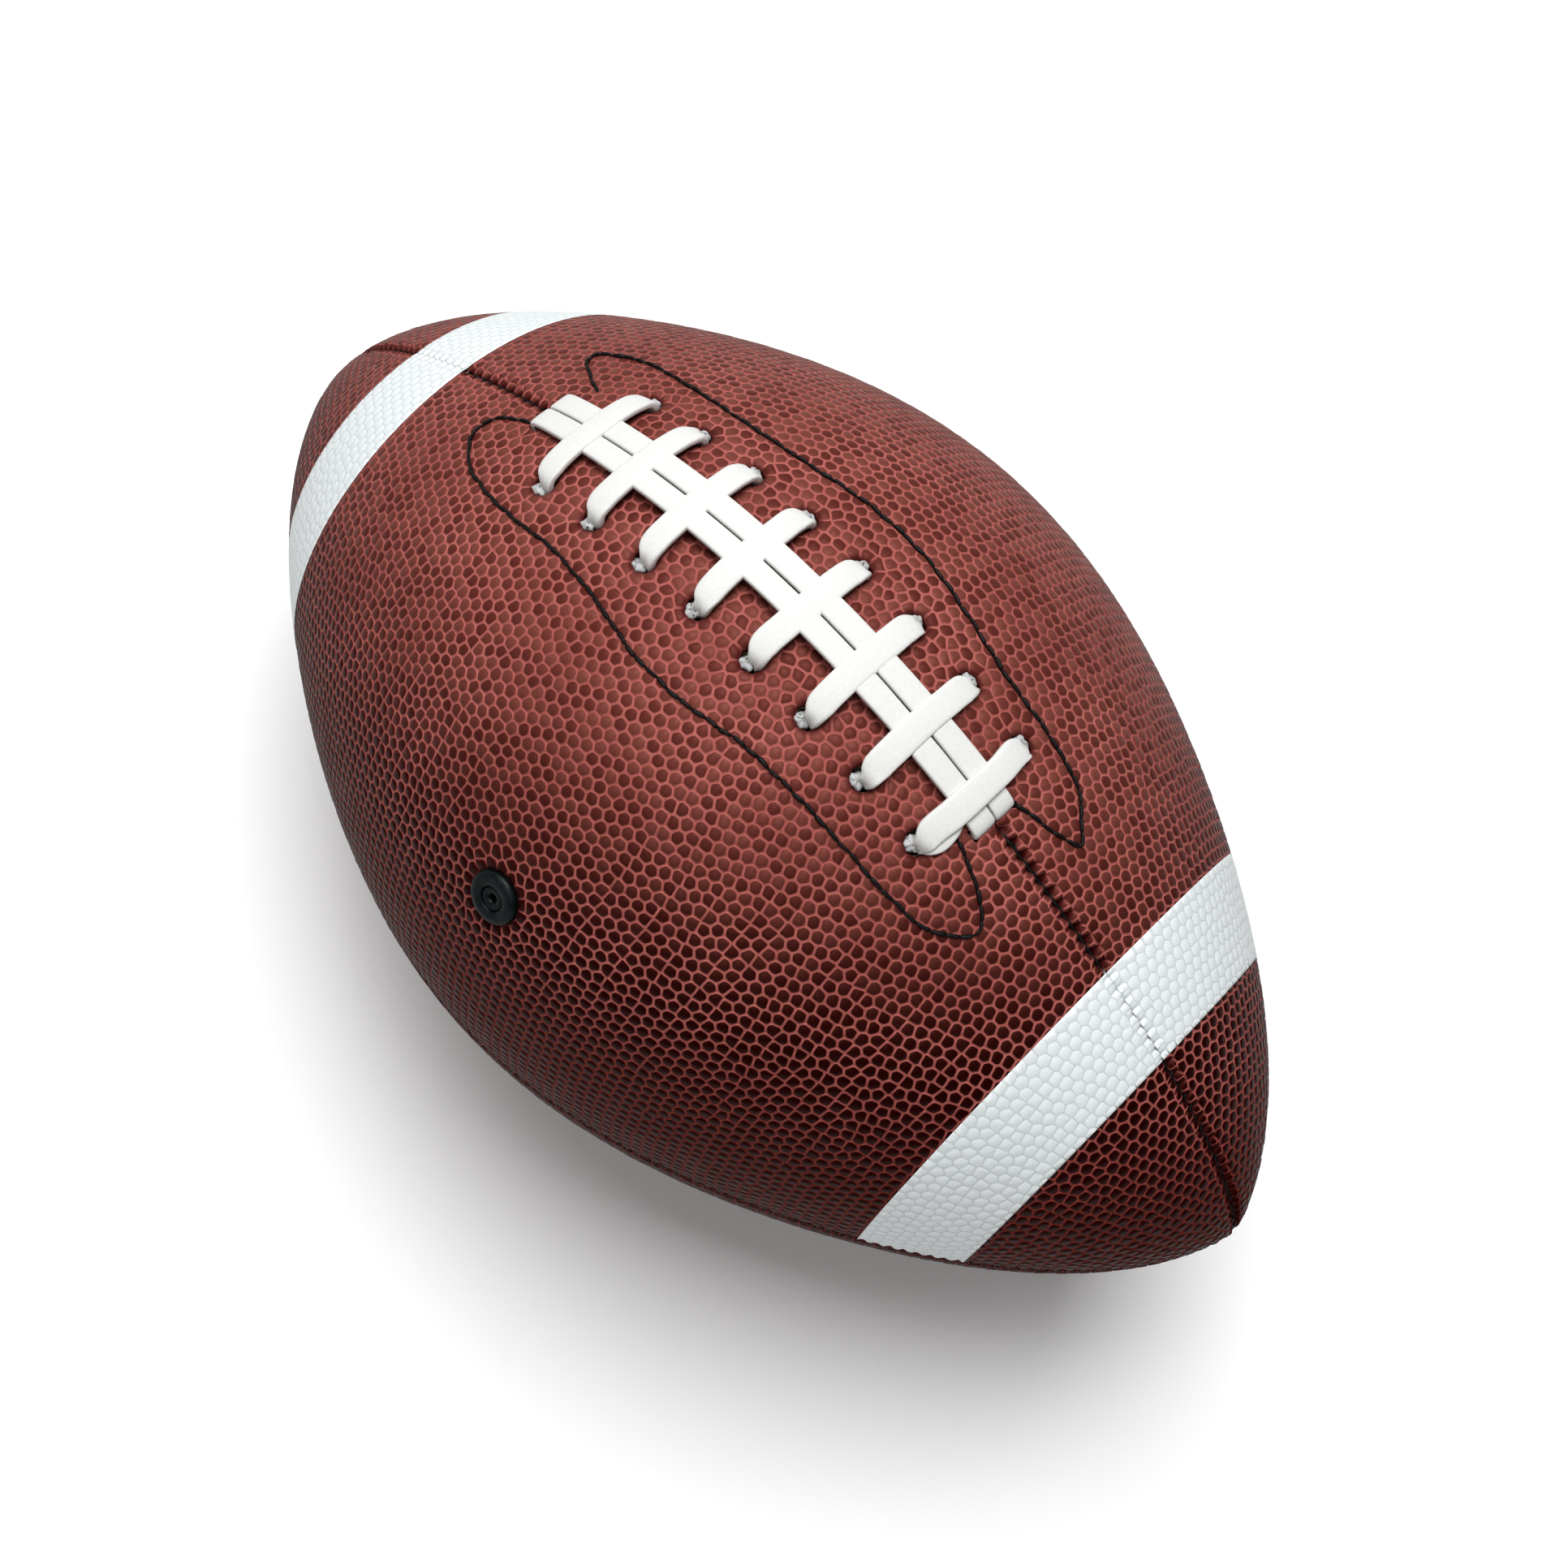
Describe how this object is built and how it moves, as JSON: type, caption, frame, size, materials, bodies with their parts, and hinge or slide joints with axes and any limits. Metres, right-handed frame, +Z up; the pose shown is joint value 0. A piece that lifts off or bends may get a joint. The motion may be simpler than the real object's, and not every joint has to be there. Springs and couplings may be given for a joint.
{
  "type": "american football",
  "caption": "Laced four-panel leather ball with two pointed ends, a rubber bladder, a cloth lining and an inflation valve.",
  "frame": {"origin": "centre of the ball", "axes": "+X along the length towards the front tip, +Z up through the lacing, +Y to the right of the lacing"},
  "size_m": [0.2838, 0.171, 0.174],
  "materials": {
    "leather": "pebbled matte",
    "stripe_paint": "satin white over the pebbles",
    "lace_cord": "soft matte white",
    "black_thread": "waxed thread",
    "lining_cloth": "plain woven",
    "facing_leather": "plain split leather",
    "valve_rubber": "moulded matte",
    "bladder_rubber": "smooth"
  },
  "bodies": {
    "root": {"cover_panel_laced_right": "leather", "lining_panel_laced_right": "lining_cloth", "cover_panel_laced_left": "leather", "lining_panel_laced_left": "lining_cloth", "cover_panel_plain_left": "leather", "lining_panel_plain_left": "lining_cloth", "cover_panel_plain_right": "leather", "lining_panel_plain_right": "lining_cloth", "stripe_front_left": "stripe_paint", "stripe_front_right": "stripe_paint", "stripe_rear_left": "stripe_paint", "stripe_rear_right": "stripe_paint", "seam_thread_lace_front": "black_thread", "seam_thread_lace_rear": "black_thread", "seam_thread_left": "black_thread", "seam_thread_right": "black_thread", "seam_thread_bottom": "black_thread", "facing_thread_left": "black_thread", "facing_thread_right": "black_thread", "lace_facing_left": "facing_leather", "lace_facing_right": "facing_leather", "lace_tongue": "facing_leather", "bladder": "bladder_rubber", "valve_patch": "bladder_rubber", "valve_housing": "valve_rubber", "valve_plug": "valve_rubber", "lace": "lace_cord"}
  },
  "joints": []
}
